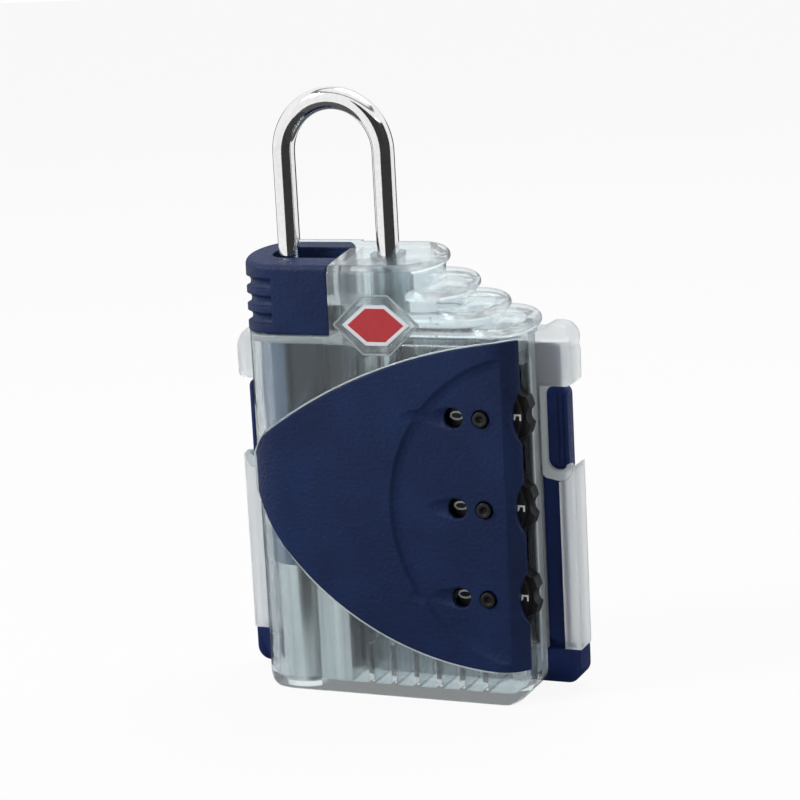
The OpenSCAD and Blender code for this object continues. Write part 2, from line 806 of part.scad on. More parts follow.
// Puts a piece at x on the sloping plane of the highest tier, and rise above it
module on_top_plane(x, rise) {
    translate([x, 0, shelf_z + tier_rise[0]]) rotate([deck_tilt, 0, 0]) translate([0, 0, rise]) children();
}

// Plan that the slider's block is trimmed to: straight at the seam, flat at the guide wall
module slider_plan() {
    right = seam_x - slide_gap;
    translate([right - far, -far]) square([far, far + slot_w / 2]);
    translate([right - far - 3.1, 0]) square([far, slider_back]);
    intersection() {
        back_plan(0);
        translate([right - far, 0]) square([far, far]);
    }
}

module release_slider() {
    slot_foot = short_leg_end - 0.4;
    color("midnightblue")
    difference() {
        union() {
            intersection() {
                slider_block();
                linear_extrude(2 * far) slider_plan();
            }
            intersection() {
                translate([0, 0, arm_foot]) linear_extrude(far) arm_plan(0);
                below_deck(shelf_z + tier_rise[0] - 0.05);
            }
        }
        translate([-leg_spacing, 0, slot_foot]) cylinder(d = slot_w, h = far);
        translate([-leg_spacing, -slot_w / 2, slot_foot]) cube([far, slot_w, far]);
        translate([-leg_spacing - slot_w / 2 - 1.4, -1.7, notch_top - 0.25 - 1.6 * latch_slope])
            cube([3, 3.4, 0.15 + 1.6 * latch_slope]);
        translate([cam_left, cam_plate_front, cam_foot]) cube([far, 2, cam_h]);
        for (i = [0:grip_grooves - 1])
            translate([-leg_spacing, 0, shelf_z + 2.3 + i * groove_pitch])
                rotate_extrude(angle = 174, start = 93)
                    translate([slider_r + 0.15, 0]) circle(r = 0.85, $fn = 24);
    }
}

module shackle() {
    r = rod_d / 2;
    notch_x = -leg_spacing - r + notch_depth;
    chamfer = 0.5;
    color("silver")
    difference() {
        union() {
            translate([-bow_r, 0, bow_z]) rotate([90, 0, 0]) rotate_extrude(angle = 180)
                translate([bow_r, 0]) circle(r = r);
            for (leg = [[-leg_spacing, short_leg_end], [0, long_leg_end]])
                translate([leg[0], 0, leg[1]]) {
                    cylinder(r1 = r - chamfer, r2 = r, h = chamfer);
                    translate([0, 0, chamfer]) cylinder(r = r, h = bow_z - leg[1] - chamfer);
                }
        }
        through(-far, far) polygon([
            [notch_x - 2, notch_top], [notch_x, notch_top], [notch_x, notch_top - 0.4],
            [notch_x - 2, notch_top - 0.4 - 2 * latch_slope]
        ]);
        translate([0, 0, ring_z]) difference() {
            cylinder(r = r + 1, h = ring_t);
            translate([0, 0, -1]) cylinder(r = r - 0.3, h = ring_t + 2);
        }
    }
}

module stop_ring() {
    color("gray")
    difference() {
        translate([0, 0, ring_z]) cylinder(r = ring_r, h = ring_t);
        translate([0, 0, ring_z - 1]) cylinder(r = rod_d / 2 - 0.3, h = ring_t + 2);
        translate([-0.5, -far, ring_z - 1]) cube([1, far, ring_t + 2]);
    }
}

// Front view of the drawer's plate, with its two finger grips
module drawer_elevation() {
    grip_r = 1.2;
    grip_top = ear_foot - 0.3;
    grip_foot = sleeve_top - 1.4;
    top_r = 1.6;
    plate_foot = sleeve_foot - 0.3;
    translate([-drawer_half, plate_foot]) square([2 * drawer_half, drawer_top - top_r - plate_foot]);
    translate([-drawer_half + top_r, drawer_top - top_r - 1])
        square([2 * (drawer_half - top_r), top_r + 1]);
    for (side = [-1, 1]) {
        translate([side * (drawer_half - top_r), drawer_top - top_r]) circle(r = top_r);
        translate([side * (grip_half - grip_r), grip_foot + grip_r]) circle(r = grip_r);
        translate([side * (grip_half - grip_r), grip_top - grip_r]) circle(r = grip_r);
        translate([side > 0 ? grip_half - 2.4 : -grip_half, grip_foot + grip_r])
            square([2.4, grip_top - grip_foot - 2 * grip_r]);
    }
}

module tag_drawer() {
    end_foot = 1.15;
    end_r = 2;
    end_half = holder_half - 0.2;
    end_top = sleeve_foot - slide_gap;
    card_room = 0.5;
    color("midnightblue")
    difference() {
        union() {
            through(drawer_front, drawer_front + drawer_t) drawer_elevation();
            through(holder_front + 0.15, holder_back) {
                translate([-end_half, end_foot + end_r])
                    square([2 * end_half, end_top - end_foot - end_r]);
                translate([-end_half + end_r, end_foot])
                    square([2 * (end_half - end_r), end_top - end_foot]);
                for (side = [-1, 1])
                    translate([side * (end_half - end_r), end_foot + end_r]) circle(r = end_r);
            }
        }
        translate([-card_half - 0.3, drawer_front + drawer_t - card_room, sleeve_foot + 1.7])
            cube([2 * card_half + 0.6, card_room + 0.02, drawer_top - sleeve_foot - 3.7]);
    }
}

module id_card() {
    color("ivory")
    translate([-card_half, drawer_front + drawer_t - 0.5, sleeve_foot + 2])
        cube([2 * card_half, card_t, drawer_top - sleeve_foot - 4.3]);
}

front_shell();
front_cover();
emblem_bezel();
emblem_inlay();
tag_holder();
card_window();
chassis_plate();
chassis_screws();
lock_barrel();
key_cylinder();
cylinder_bracket();
leg_bushing();
spring_seat();
shackle_spring();
detent_spring();
dial_spindle(0);  // dial_spindle_1
dial_spindle(1);  // dial_spindle_2
dial_spindle(2);  // dial_spindle_3
release_slider();
latch_plate();
slider_cam();
fence_bar();
shackle();
stop_ring();
dial(0);  // dial_1
dial(1);  // dial_2
dial(2);  // dial_3
dial_cam(0);  // dial_cam_1
dial_cam(1);  // dial_cam_2
dial_cam(2);  // dial_cam_3
key_plug();
key_shaft();
tag_drawer();
id_card();
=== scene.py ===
import json
import math

import bmesh
import bpy
from mathutils import Matrix, Vector, geometry

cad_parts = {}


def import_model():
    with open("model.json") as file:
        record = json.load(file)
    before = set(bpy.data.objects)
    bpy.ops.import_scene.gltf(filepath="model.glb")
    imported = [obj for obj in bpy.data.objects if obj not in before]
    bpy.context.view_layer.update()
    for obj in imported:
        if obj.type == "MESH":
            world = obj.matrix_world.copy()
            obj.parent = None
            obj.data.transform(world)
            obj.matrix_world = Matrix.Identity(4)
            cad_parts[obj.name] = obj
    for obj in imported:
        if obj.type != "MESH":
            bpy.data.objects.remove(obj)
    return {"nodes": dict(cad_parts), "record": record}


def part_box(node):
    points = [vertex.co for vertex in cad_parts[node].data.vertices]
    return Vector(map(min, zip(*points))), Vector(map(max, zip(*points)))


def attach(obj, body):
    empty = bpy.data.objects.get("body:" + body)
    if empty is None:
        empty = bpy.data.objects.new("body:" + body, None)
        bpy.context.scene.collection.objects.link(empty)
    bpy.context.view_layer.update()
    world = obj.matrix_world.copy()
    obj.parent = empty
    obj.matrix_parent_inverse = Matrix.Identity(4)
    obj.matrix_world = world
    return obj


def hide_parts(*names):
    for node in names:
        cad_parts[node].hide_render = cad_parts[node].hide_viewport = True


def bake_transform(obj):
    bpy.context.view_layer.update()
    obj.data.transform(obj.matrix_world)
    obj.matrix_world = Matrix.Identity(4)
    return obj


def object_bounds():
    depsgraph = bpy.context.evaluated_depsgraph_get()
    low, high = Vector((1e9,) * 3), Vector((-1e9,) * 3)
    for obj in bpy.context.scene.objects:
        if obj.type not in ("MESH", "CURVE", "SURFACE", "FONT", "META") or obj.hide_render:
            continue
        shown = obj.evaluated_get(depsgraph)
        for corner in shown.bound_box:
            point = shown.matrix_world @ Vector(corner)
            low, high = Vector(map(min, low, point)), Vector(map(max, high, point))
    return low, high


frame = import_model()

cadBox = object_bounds()
mm = 0.001
weldGap = 0.0005 * mm
slotOfNode = {entry["node"]: entry["material_slot"] for entry in frame["record"]["subparts"]}


class Value:
    # A node's output that plain arithmetic works on: each operator adds a Math node
    def __init__(self, graph, socket):
        self.graph = graph
        self.socket = socket

    def combine(self, operation, first, second):
        return self.graph.node(self.graph.mathKind, {"operation": operation}, {0: first, 1: second})

    def __add__(self, other):
        return self.combine("ADD", self, other)

    def __radd__(self, other):
        return self.combine("ADD", other, self)

    def __sub__(self, other):
        return self.combine("SUBTRACT", self, other)

    def __rsub__(self, other):
        return self.combine("SUBTRACT", other, self)

    def __mul__(self, other):
        return self.combine("MULTIPLY", self, other)

    def __rmul__(self, other):
        return self.combine("MULTIPLY", other, self)


class Graph:
    mathKind = "ShaderNodeMath"

    def __init__(self, tree):
        self.tree = tree

    def node(self, kind, settings=None, inputs=None, out=0):
        made = self.tree.nodes.new(kind)
        for key, value in (settings or {}).items():
            if key == "stops":
                for place, colour in value[2:]:
                    made.color_ramp.elements.new(place)
                for element, (place, colour) in zip(made.color_ramp.elements, sorted(value)):
                    element.position, element.color = place, colour
            else:
                setattr(made, key, value)
        for key, value in (inputs or {}).items():
            for one in value if isinstance(value, list) else [value]:
                if isinstance(one, Value):
                    self.tree.links.new(one.socket, made.inputs[key])
                else:
                    made.inputs[key].default_value = one
        return Value(self, made.outputs[out]) if made.outputs else made

    def rays(self):
        # Whether the ray that sees this comes from the camera, from gloss or through something clear
        path = self.tree.nodes.new("ShaderNodeLightPath")
        return [Value(self, path.outputs[kind]) for kind in ("Is Camera Ray", "Is Glossy Ray", "Is Transmission Ray")]


class Finish(Graph):
    def __init__(self, name, soft=0.25):
        self.material = bpy.data.materials.new(name)
        self.material.use_nodes = True
        super().__init__(self.material.node_tree)
        self.tree.nodes.clear()
        self.place = self.node("ShaderNodeTexCoord", out="Object")
        self.soft = soft * mm

    def noise(self, scale, detail=3, stretch=(1, 1, 1)):
        spot = self.node("ShaderNodeMapping", {}, {"Vector": self.place, "Scale": stretch})
        return self.node("ShaderNodeTexNoise", {}, {"Vector": spot, "Scale": scale, "Detail": detail})

    def along(self):
        split = self.node("ShaderNodeSeparateXYZ", {}, {"Vector": self.place})
        return [Value(self, out) for out in split.socket.node.outputs]

    def absolute(self, value):
        return self.node("ShaderNodeMath", {"operation": "ABSOLUTE"}, {0: value})

    def ramp(self, value, low, high, fromLow=0.3, fromHigh=0.7):
        return self.node("ShaderNodeMapRange", {}, {
            "Value": value, "From Min": fromLow, "From Max": fromHigh, "To Min": low, "To Max": high})

    def tint(self, factor, first, second):
        colours = {6: first + (1,), 7: second + (1,)}
        return self.node("ShaderNodeMix", {"data_type": "RGBA"}, {0: factor, **colours}, out=2)

    def bump(self, height, depth, strength=1):
        # Depth in millimetres; every edge of the piece reads as rounded by soft
        inputs = {"Height": height, "Distance": depth * mm, "Strength": strength}
        if self.soft:
            inputs["Normal"] = self.node("ShaderNodeBevel", {"samples": 6}, {"Radius": self.soft})
        return self.node("ShaderNodeBump", {}, inputs)

    def shader(self, **sockets):
        inputs = {key.replace("_", " "): value for key, value in sockets.items()}
        return self.node("ShaderNodeBsdfPrincipled", {}, inputs)

    def end(self, surface):
        self.node("ShaderNodeOutputMaterial", {}, {"Surface": surface})
        return self.material

    def finish(self, **sockets):
        return self.end(self.shader(**sockets))


def linear(red, green, blue):
    # A screen colour, each part from 0 to 255, as linear light
    return tuple(((c / 255 + 0.055) / 1.055) ** 2.4 if c > 10 else c / 3295 for c in (red, green, blue))


navy = {"dark": linear(7, 29, 69), "light": linear(12, 40, 88)}
gripNavy = {"dark": linear(14, 34, 84), "light": linear(20, 46, 104)}
moulding = {"grain": 1900, "cloud": 120, "grainShare": 0.5, "cloudy": (0.5, 1.0), "rough": (0.46, 0.62),
            "gloss": 0.3, "relief": 0.16, "strength": 0.8, "edge": 0.35}


def navyPlastic(name, look):
    f = Finish(name, moulding["edge"])
    grain = f.noise(moulding["grain"])
    cloud = f.noise(moulding["cloud"])
    shade = f.ramp(cloud + grain * moulding["grainShare"], 0, 1, *moulding["cloudy"])
    return f.finish(
        Base_Color=f.tint(shade, look["dark"], look["light"]),
        Roughness=f.ramp(grain, *moulding["rough"]), Specular_IOR_Level=moulding["gloss"],
        Normal=f.bump(grain, moulding["relief"], moulding["strength"]))


clear = {"tint": (0.72, 0.81, 0.84), "rough": (0.04, 0.10), "through": 0.95, "bend": 1.38, "alpha": 0.82,
         "milk": {"fromX": 20.2 * mm, "fromY": -1.0 * mm, "fade": 0.5 * mm, "share": 0.6, "rough": 0.3,
                  "dull": (0.54, 0.61, 0.65), "pale": (0.80, 0.86, 0.89)}}
bezel = {"tint": (0.92, 0.96, 0.97), "rough": (0.02, 0.05), "through": 0.93, "bend": 1.45, "alpha": 0.8}
bead = {"tint": (0.90, 0.97, 1.0), "rough": (0.08, 0.14), "through": 0.45, "bend": 1.33, "alpha": 0.95}
polish = {"ripple": 260, "detail": 2, "paler": 0.15, "relief": 0.3, "strength": 0.35, "edge": 0.3}


def clearPlastic(name, look):
    f = Finish(name, polish["edge"])
    ripple = f.noise(polish["ripple"], polish["detail"])
    pale = tuple(polish["paler"] + c * (1 - polish["paler"]) for c in look["tint"])
    relief = f.bump(ripple, polish["relief"], polish["strength"])
    glass = f.shader(
        Base_Color=f.tint(f.ramp(ripple, 0, 1), look["tint"], pale), Roughness=f.ramp(ripple, *look["rough"]),
        Transmission_Weight=look["through"], IOR=look["bend"], Alpha=look["alpha"], Normal=relief)
    if "milk" not in look:
        return f.end(glass)
    # The side wall behind the dials has a matt inner face, so it looks milky
    milk = look["milk"]
    x, y = f.along()[:2]
    wall = f.ramp(x, 0, 1, milk["fromX"], milk["fromX"] + milk["fade"])
    wall = wall * f.ramp(y, 0, 1, milk["fromY"], milk["fromY"] + milk["fade"]) * milk["share"]
    haze = f.shader(
        Base_Color=f.tint(f.ramp(ripple, 0, 1), milk["dull"], milk["pale"]), Roughness=milk["rough"], Normal=relief)
    return f.end(f.node("ShaderNodeMixShader", {}, {0: wall, 1: glass, 2: haze}))


frosted = {"tint": (0.88, 0.92, 0.94), "pale": (0.95, 0.97, 0.98), "rough": (0.32, 0.42), "through": 0.74,
           "bend": 1.27, "alpha": 0.88, "haze": 900, "streak": 420, "streakDetail": 2, "stretch": (1, 1, 0.06),
           "relief": 0.006, "strength": 0.4, "edge": 0.8}


def frostedPlastic():
    f = Finish("frostedPlastic", frosted["edge"])
    haze = f.noise(frosted["haze"])
    streak = f.noise(frosted["streak"], frosted["streakDetail"], frosted["stretch"])
    return f.finish(
        Base_Color=f.tint(f.ramp(streak, 0, 1), frosted["tint"], frosted["pale"]),
        Roughness=f.ramp(haze, *frosted["rough"]), Transmission_Weight=frosted["through"], IOR=frosted["bend"],
        Alpha=frosted["alpha"], Normal=f.bump(haze, frosted["relief"], frosted["strength"]))


def metal(name, colour, rough, scale=900, stretch=(1, 1, 1), relief=0.02, dark=0.9, edge=0.15):
    # Fine marks, drawn out along z where stretch is small; dark is how dark they get beside the bright metal. Where
    # the streaks are long and strongly darkened, as on the nickel and the satin metal, they are painted reflection
    # bands, light and dark, in the colour
    f = Finish(name, edge)
    markAndBand = f.noise(scale, 4, stretch)
    darker = tuple(c * dark for c in colour)
    return f.finish(
        Base_Color=f.tint(f.ramp(markAndBand, 0, 1), darker, colour), Metallic=1.0,
        Roughness=f.ramp(markAndBand, *rough), Normal=f.bump(markAndBand, relief, 0.5))


def plainPlastic(name, colour, rough, scale=2500, relief=0.04, edge=0.2):
    f = Finish(name, edge)
    grain = f.noise(scale)
    lighter = tuple(min(1, c * 1.5 + 0.004) for c in colour)
    return f.finish(
        Base_Color=f.tint(f.ramp(grain, 0, 1), colour, lighter),
        Roughness=f.ramp(grain, *rough), Normal=f.bump(grain, relief, 0.6))


card = {"dull": (0.72, 0.71, 0.68), "pale": (0.82, 0.81, 0.78), "fibre": 1400, "detail": 5, "rough": 0.85,
        "relief": 0.04, "strength": 0.5}


def paperCard():
    f = Finish("paperCard", 0)
    fibre = f.noise(card["fibre"], card["detail"])
    return f.finish(
        Base_Color=f.tint(f.ramp(fibre, 0, 1), card["dull"], card["pale"]), Roughness=card["rough"],
        Normal=f.bump(fibre, card["relief"], card["strength"]))


inlay = {"rim": 0.55 * mm, "blur": 0.04 * mm, "topBand": 0.1 * mm,
         "red": linear(190, 38, 46), "deepRed": linear(180, 32, 40), "pale": linear(232, 234, 238),
         "grain": 700, "grainShare": 0.05, "rough": (0.2, 0.28), "relief": 0.05, "strength": 0.6, "edge": 0.15}


def redInlay():
    # A red field with a pale rim, both printed on the six-sided plate
    f = Finish("redInlay", inlay["edge"])
    low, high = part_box("emblem_inlay")
    corners = [v.co for v in frame["nodes"]["emblem_inlay"].data.vertices]
    middleX, middleZ = (low[0] + high[0]) / 2, (low[2] + high[2]) / 2
    flat = max(abs(c.x - middleX) for c in corners if c.z > high[2] - inlay["topBand"])
    halfWidth, halfHeight = (high[0] - low[0]) / 2, (high[2] - low[2]) / 2
    lean = math.hypot(halfHeight, halfWidth - flat)
    x, y, z = f.along()
    across, up = f.absolute(x - middleX), f.absolute(z - middleZ)
    side = (halfWidth - across) * (halfHeight / lean) - up * ((halfWidth - flat) / lean)
    edge = f.node("ShaderNodeMath", {"operation": "MINIMUM"}, {0: halfHeight - up, 1: side})
    field = f.ramp(edge, 0, 1, inlay["rim"] - inlay["blur"], inlay["rim"] + inlay["blur"])
    grain = f.noise(inlay["grain"])
    red = f.tint(f.ramp(grain, 0, 1), inlay["deepRed"], inlay["red"])
    colour = f.node("ShaderNodeMix", {"data_type": "RGBA"}, {0: field, 6: inlay["pale"] + (1,), 7: red}, out=2)
    return f.finish(
        Base_Color=colour, Roughness=f.ramp(grain, *inlay["rough"]),
        Normal=f.bump(field + grain * inlay["grainShare"], inlay["relief"], inlay["strength"]))


# Each metal has its colour and its roughness from smoothest to roughest; scales are noise cells per metre
finishes = {
    "navy_plastic": navyPlastic("navyPlastic", navy),
    "clear_plastic": clearPlastic("clearPlastic", clear),
    "frosted_plastic": frostedPlastic(),
    "red_plastic": redInlay(),
    "black_plastic": plainPlastic("blackPlastic", linear(20, 20, 22), (0.38, 0.52)),
    "chrome_steel": metal("chromeSteel", (0.90, 0.89, 0.90), (0.05, 0.10), scale=1400, relief=0.006),
    # The nickel key cylinder and the satin barrel get long, strongly darkened streaks: painted reflection bands
    "nickel": metal("nickel", (0.95, 0.95, 0.94), (0.16, 0.24), scale=420, stretch=(1, 1, 0.02), relief=0.01,
                    dark=0.4),
    "satin_metal": metal("satinMetal", (0.24, 0.30, 0.42), (0.2, 0.28), scale=380, stretch=(1, 1, 0.01),
                         relief=0.01, dark=0.45),
    "steel": metal("steel", (0.55, 0.56, 0.58), (0.22, 0.36), scale=1100, stretch=(1, 1, 0.15)),
    "spring_steel": metal("springSteel", (0.62, 0.63, 0.65), (0.18, 0.28)),
    "dark_steel": metal("darkSteel", (0.12, 0.13, 0.15), (0.3, 0.42)),
    "brass": metal("brass", (0.72, 0.55, 0.28), (0.2, 0.34)),
    "paper_card": paperCard(),
}
digitInk = plainPlastic("digitInk", linear(226, 230, 234), (0.35, 0.5), scale=1800, relief=0.01)
for name, cadNode in frame["nodes"].items():
    cadNode.data.materials.clear()
    cadNode.data.materials.append(finishes[slotOfNode[name]])
frame["nodes"]["tag_drawer"].data.materials[0] = navyPlastic("gripPlastic", gripNavy)
beadPlastic = clearPlastic("beadPlastic", bead)
bezelPlastic = clearPlastic("bezelPlastic", bezel)
for name in ("emblem_bezel", "card_window"):
    frame["nodes"][name].data.materials[0] = bezelPlastic
print("finishes:", len(finishes))


def placed(name, data):
    made = bpy.data.objects.new(name, data)
    bpy.context.scene.collection.objects.link(made)
    return made


def finalMesh(piece):
    # The piece as it stands after its modifiers, or a curve with its thickness, as a plain mesh
    return bpy.data.meshes.new_from_object(piece.evaluated_get(bpy.context.evaluated_depsgraph_get()))


def weld(mesh, turnOut=False):
    bm = bmesh.new()
    bm.from_mesh(mesh)
    bmesh.ops.remove_doubles(bm, verts=bm.verts, dist=weldGap)
    if turnOut:
        bmesh.ops.recalc_face_normals(bm, faces=bm.faces)
    bm.to_mesh(mesh)
    bm.free()


class Recipe(Graph):
    # A Geometry Nodes tree with named sizes; make() runs it once and keeps the plain mesh
    def __init__(self, name, sizes):
        super().__init__(bpy.data.node_groups.new(name, "GeometryNodeTree"))
        face = self.tree.interface
        face.new_socket("Geometry", in_out="OUTPUT", socket_type="NodeSocketGeometry")
        for key, value in sizes.items():
            kind = "Vector" if isinstance(value, tuple) else "Float"
            face.new_socket(key, in_out="INPUT", socket_type="NodeSocket" + kind).default_value = value
        self.entry = self.tree.nodes.new("NodeGroupInput")

    def size(self, name):
        return Value(self, self.entry.outputs[name])

    def end(self, geometry, material):
        whole = self.node("GeometryNodeRealizeInstances", {}, {0: geometry})
        painted = self.node("GeometryNodeSetMaterial", {}, {"Geometry": whole, "Material": material})
        self.node("NodeGroupOutput", {}, {0: painted})

    def make(self, name, sizes):
        made = placed(name, bpy.data.meshes.new(name))
        step = made.modifiers.new("recipe", "NODES")
        step.node_group = self.tree
        for item in self.tree.interface.items_tree:
            if item.in_out == "INPUT" and item.name in sizes:
                step[item.identifier] = sizes[item.name]
        mesh = finalMesh(made)
        made.modifiers.remove(step)
        made.data = mesh
        return made


def closedTube(name, curve):
    # A curve as a plain mesh, its end caps joined to it
    tube = placed(name, curve)
    mesh = finalMesh(tube)
    bpy.data.objects.remove(tube)
    weld(mesh, turnOut=True)
    return placed(name, mesh)


# The tag drawer has two grooves in the front of each finger grip
grooves = {"x": (23.1 * mm, 23.85 * mm), "sink": 0.85 * mm, "radius": 0.24 * mm, "foot": 32.8 * mm, "top": 43.4 * mm,
           "taper": 0.5 * mm, "tip": 0.1, "sides": 4, "sharp": 30}


def grooveCutter():
    # Four upright rods with pointed ends, one for each groove
    curve = bpy.data.curves.new("grooveCutter", "CURVE")
    curve.dimensions, curve.bevel_depth, curve.bevel_resolution = "3D", grooves["radius"], grooves["sides"]
    curve.use_fill_caps = True
    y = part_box("tag_drawer")[0][1] + grooves["sink"]
    for x in [side * x for side in (-1, 1) for x in grooves["x"]]:
        path = curve.splines.new("POLY")
        stops = ((grooves["foot"], grooves["tip"]), (grooves["foot"] + grooves["taper"], 1),
                 (grooves["top"] - grooves["taper"], 1), (grooves["top"], grooves["tip"]))
        path.points.add(len(stops) - 1)
        for point, (z, size) in zip(path.points, stops):
            point.co, point.radius = (x, y, z, 1), size
    return closedTube("grooveCutter", curve)


def groovedDrawer():
    mesh = frame["nodes"]["tag_drawer"].data.copy()
    weld(mesh)
    drawer = placed("tag_drawer_grooved", mesh)
    cutter = grooveCutter()
    cut = drawer.modifiers.new("grooves", "BOOLEAN")
    cut.operation, cut.object, cut.solver = "DIFFERENCE", cutter, "EXACT"
    cutMesh = finalMesh(drawer)
    drawer.modifiers.remove(cut)
    bpy.data.objects.remove(cutter)
    weld(cutMesh)     # the cut leaves pairs of corners on one spot
    drawer.data = cutMesh
    cutMesh.shade_smooth()
    cutMesh.set_sharp_from_angle(angle=math.radians(grooves["sharp"]))
    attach(drawer, "tag")
    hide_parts("tag_drawer")
    print("drawer:", len(cutMesh.polygons), "faces")


groovedDrawer()


digits = {"Ring Radius": 4.1 * mm, "Digit Height": 3.0 * mm, "Ink": 0.05 * mm}
inkLift = 0.01 * mm


def digitRecipe():
    # Ten digits round a dial's face, each with its top outwards and the 0 in the window
    g = Recipe("digitRing", {"Middle": (0.0, 0.0, 0.0), **digits})
    outward = g.node("ShaderNodeCombineXYZ", {}, {"Z": g.size("Ring Radius")})
    ring = []
    for digit in range(10):
        drawn = g.node("GeometryNodeStringToCurves", {"align_x": "CENTER", "align_y": "MIDDLE"}, {
            "String": str(digit), "Size": g.size("Digit Height")})
        flat = g.node("GeometryNodeFillCurve", {}, {0: g.node("GeometryNodeRealizeInstances", {}, {0: drawn})})
        inked = g.node("GeometryNodeExtrudeMesh", {}, {
            "Mesh": flat, "Offset Scale": g.size("Ink"), "Individual": False})
        back = g.node("GeometryNodeFlipFaces", {}, {0: flat})
        closed = g.node("GeometryNodeMergeByDistance", {}, {
            "Geometry": g.node("GeometryNodeJoinGeometry", {}, {0: [inked, back]}), "Distance": weldGap})
        upright = g.node("GeometryNodeTransform", {}, {
            "Geometry": closed, "Rotation": (math.radians(90), 0, 0), "Translation": outward})
        ring.append(g.node("GeometryNodeTransform", {}, {
            "Geometry": upright, "Rotation": (0, math.radians(36 * digit - 90), 0)}))
    joined = g.node("GeometryNodeJoinGeometry", {}, {0: ring})
    g.end(g.node("GeometryNodeTransform", {}, {"Geometry": joined, "Translation": g.size("Middle")}), digitInk)
    return g


ringOfDigits = digitRecipe()
for i in (1, 2, 3):
    low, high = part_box(f"dial_{i}")
    spindleLow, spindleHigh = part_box(f"dial_spindle_{i}")
    dialMiddle = ((spindleLow[0] + spindleHigh[0]) / 2, low[1] - inkLift, (spindleLow[2] + spindleHigh[2]) / 2)
    numerals = ringOfDigits.make(f"dial_digits_{i}", {"Middle": dialMiddle})
    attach(numerals, f"dial_{i}")
    print("digits:", i, len(numerals.data.polygons))


# Pale rims round the finger notches of the tag holder. The lap goes round the foot of the grip to the sleeve.
notch = {"outer": 20.95 * mm, "inner": 21.7 * mm, "top": 44.35 * mm, "foot": 32.3 * mm,
         "skirt": 31.2 * mm, "bevel": 0.5 * mm, "corner": 1.5 * mm, "front": 1.85 * mm, "back": 2.85 * mm, "steps": 8,
         "lap": ((23.9, 32.36), (24.4, 32.7), (24.7, 33.2), (25.2, 33.3), (25.45, 32.9), (25.3, 31.9), (24.6, 31.0),
                 (23.4, 30.8))}


def notchRim(name, side):
    middleX = notch["inner"] + notch["corner"]
    loop = []
    for middleZ, start in ((notch["top"] - notch["corner"], 90), (notch["foot"] + notch["corner"], 180)):
        for i in range(notch["steps"] + 1):
            turn = math.radians(start + 90 * i / notch["steps"])
            loop.append((middleX + notch["corner"] * math.cos(turn), middleZ + notch["corner"] * math.sin(turn)))
    loop += [(x * mm, z * mm) for x, z in notch["lap"]]
    loop += [(notch["outer"] + notch["bevel"], notch["skirt"]), (notch["outer"], notch["skirt"] + notch["bevel"]),
             (notch["outer"], notch["top"])]
    loop = loop[::-side]     # so that the faces point outwards on either side
    count = len(loop)
    points = [(side * x, y, z) for y in (notch["front"], notch["back"]) for x, z in loop]
    faces = [tuple(range(count)), tuple(range(2 * count - 1, count - 1, -1))]
    faces += [((i + 1) % count, i, i + count, (i + 1) % count + count) for i in range(count)]
    mesh = bpy.data.meshes.new(name)
    mesh.from_pydata(points, [], faces)
    mesh.materials.append(beadPlastic)
    made = placed(name, mesh)
    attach(made, "case")


notchRim("notch_rim_right", 1)
notchRim("notch_rim_left", -1)
print("notch rims: 2")

# Thin pale beads along the clear parts' edges: painted highlights, pale lines that stand in for the light that
# polished edges catch
lip = {"radius": 0.13 * mm, "outward": 0.20 * mm, "sunk": 0.14 * mm, "fromRight": 4 * mm, "even": 3}
bezelHighlight = {"radius": 0.11 * mm, "outward": -0.16 * mm, "sunk": 0.1155 * mm}
wallHighlight = {"radius": 0.19 * mm, "x": 20.56 * mm, "y": -0.35 * mm, "foot": 5 * mm, "top": 49 * mm}
beadSides = 2


def outline(name, outward):
    # Corners of a node's outline as seen from the front, each with the depth of its front edge
    fronts = {}
    for v in frame["nodes"][name].data.vertices:
        spot = (round(v.co.x, 6), round(v.co.z, 6))
        fronts[spot] = min(v.co.y, fronts.get(spot, 1))
    spots = sorted(fronts)
    loop = [spots[i] for i in geometry.convex_hull_2d([Vector(spot) for spot in spots])]
    grown = []
    for i, (x, z) in enumerate(loop):
        run = (Vector(loop[(i + 1) % len(loop)]) - Vector(loop[i - 1])).normalized()
        grown.append(Vector((x + run.y * outward, fronts[(x, z)], z - run.x * outward)))
    return grown


# A pale tube along the points: a painted highlight line
def edgeBead(name, points, radius, closed):
    curve = bpy.data.curves.new(name, "CURVE")
    curve.dimensions, curve.bevel_depth, curve.bevel_resolution = "3D", radius, beadSides
    curve.use_fill_caps = True
    path = curve.splines.new("POLY")
    path.use_cyclic_u = closed
    path.points.add(len(points) - 1)
    for point, p in zip(path.points, points):
        point.co = (*p, 1)
    made = closedTube(name, curve)
    made.data.materials.clear()
    made.data.materials.append(beadPlastic)
    made.data.shade_smooth()
    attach(made, "case")


rim = outline("front_cover", lip["outward"])
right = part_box("front_cover")[1][0] - lip["fromRight"]
first = next(i for i in range(len(rim)) if rim[i].x < right <= rim[i - 1].x)
rim = [p + Vector((0, lip["sunk"], 0)) for p in rim[first:] + rim[:first] if p.x < right]
depths = [p.y for p in rim]
for i, p in enumerate(rim):     # the edge's own steps in depth are evened out
    near = depths[max(0, i - lip["even"]):i + lip["even"] + 1]
    p.y = sum(near) / len(near)
edgeBead("seat_lip_highlight", rim, lip["radius"], False)
sunk = Vector((0, bezelHighlight["sunk"], 0))
edgeBead("bezel_highlight_line", [p + sunk for p in outline("emblem_bezel", bezelHighlight["outward"])],
         bezelHighlight["radius"], True)
edgeBead("wall_highlight_line", [Vector((wallHighlight["x"], wallHighlight["y"], z)) for z in (wallHighlight["foot"], wallHighlight["top"])],
         wallHighlight["radius"], False)
print("beads: 3, the seat lip with", len(rim), "points")


# A wound spring in place of the CAD spring, at its size
coil = {"Turns": 5.0, "Wire Radius": 0.22 * mm, "sides": 10, "steps": 24}


